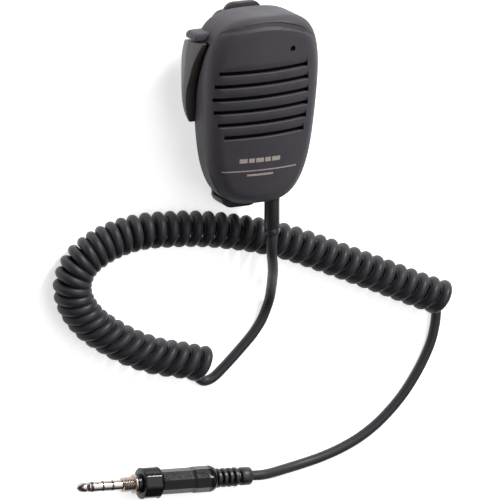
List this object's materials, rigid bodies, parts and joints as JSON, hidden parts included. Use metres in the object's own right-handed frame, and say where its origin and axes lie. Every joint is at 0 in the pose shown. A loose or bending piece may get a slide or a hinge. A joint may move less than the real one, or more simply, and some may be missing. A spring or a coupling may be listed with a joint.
{
  "type": "hand microphone",
  "caption": "Speaker-microphone with slotted front, push-to-talk paddle, swivel belt clip, curly cord and screw-lock 3.5 mm plug.",
  "frame": {"origin": "Where the clip's swivel axis meets the face the microphone rests on, the back of its belt clip", "axes": "+Z out of the speaker face, +Y to the top end of the case, +X to its right side seen from the front"},
  "size_m": [0.1478, 0.1714, 0.0344],
  "materials": {
    "case_plastic": "fine-grained charcoal ABS",
    "paddle_plastic": "satin dark grey",
    "clip_plastic": "fine-grained black",
    "relief_rubber": "matt black",
    "cord_jacket": "satin black PVC",
    "plug_shell": "semi-gloss black",
    "plug_contact": "polished nickel",
    "lock_metal": "satin nickel over brass",
    "insulator": "black",
    "steel": "zinc plated",
    "speaker_metal": "plain",
    "magnet": "dark, ground",
    "cone_paper": "translucent film",
    "cloth": "fine black weave",
    "soft_black": "soft matt",
    "board": "green solder mask",
    "part_plastic": "black moulded",
    "plunger_plastic": "off-white",
    "wire": "insulated copper"
  },
  "bodies": {
    "case": {"front_case": "case_plastic", "rear_case": "case_plastic", "strain_relief": "relief_rubber", "plug_boot": "relief_rubber", "mic_lead": "cord_jacket", "curly_cord": "cord_jacket", "plug_lead": "cord_jacket", "plug_body": "plug_shell", "plug_tip": "plug_contact", "plug_ring_1": "plug_contact", "plug_ring_2": "plug_contact", "plug_sleeve": "plug_contact", "plug_insulators": "insulator", "case_screws": "steel", "ptt_pin": "steel", "clamp_screw": "steel", "cord_clamp": "steel", "speaker_frame": "speaker_metal", "microphone_element": "speaker_metal", "speaker_magnet": "magnet", "speaker_cone": "cone_paper", "speaker_cloth": "cloth", "speaker_gasket": "soft_black", "microphone_holder": "soft_black", "circuit_board": "board", "board_components": "part_plastic", "ptt_switch": "part_plastic", "speaker_wires": "wire", "cord_wires": "wire"},
    "clip_carrier": {"clip_base": "clip_plastic", "clip_pin": "steel", "clip_spring": "steel", "swivel_washer": "steel", "swivel_screw": "steel"},
    "clip_jaw": {"clip_lever": "clip_plastic"},
    "paddle": {"ptt_button": "paddle_plastic"},
    "switch_plunger": {"ptt_switch_plunger": "plunger_plastic"},
    "locking_sleeve": {"thread_collar": "lock_metal", "lock_sleeve": "plug_shell"}
  },
  "joints": [
    {"name": "clip_swivel", "type": "hinge", "parent": "case", "child": "clip_carrier", "pos_m": [0, 0, 0.0125], "axis": [0, 0, 1], "continuous": true},
    {"name": "clip_open", "type": "hinge", "parent": "clip_carrier", "child": "clip_jaw", "pos_m": [0, 0.0145, 0.0054], "axis": [1, 0, 0], "range_deg": [0, 14], "stiffness_Nm_per_rad": 0.1, "springref_deg": -85.94, "deforming": ["clip_spring"]},
    {"name": "ptt_press", "type": "hinge", "parent": "case", "child": "paddle", "pos_m": [-0.017, -0.0066, 0.0177], "axis": [0, 0, -1], "range_deg": [0, 3.2], "stiffness_Nm_per_rad": 0.6, "springref_deg": -2.86},
    {"name": "ptt_switch_travel", "type": "slide", "parent": "case", "child": "switch_plunger", "axis": [1, 0, 0], "range_m": [0, 0.00105]},
    {"name": "lock_sleeve_spin", "type": "hinge", "parent": "case", "child": "locking_sleeve", "pos_m": [0.005, -0.139, 0.0054], "axis": [0.9971, -0.0767, 0], "continuous": true}
  ],
  "couplings": [
    {"joint": "ptt_switch_travel", "follows": "ptt_press", "m_per_rad": 0.0186}
  ]
}
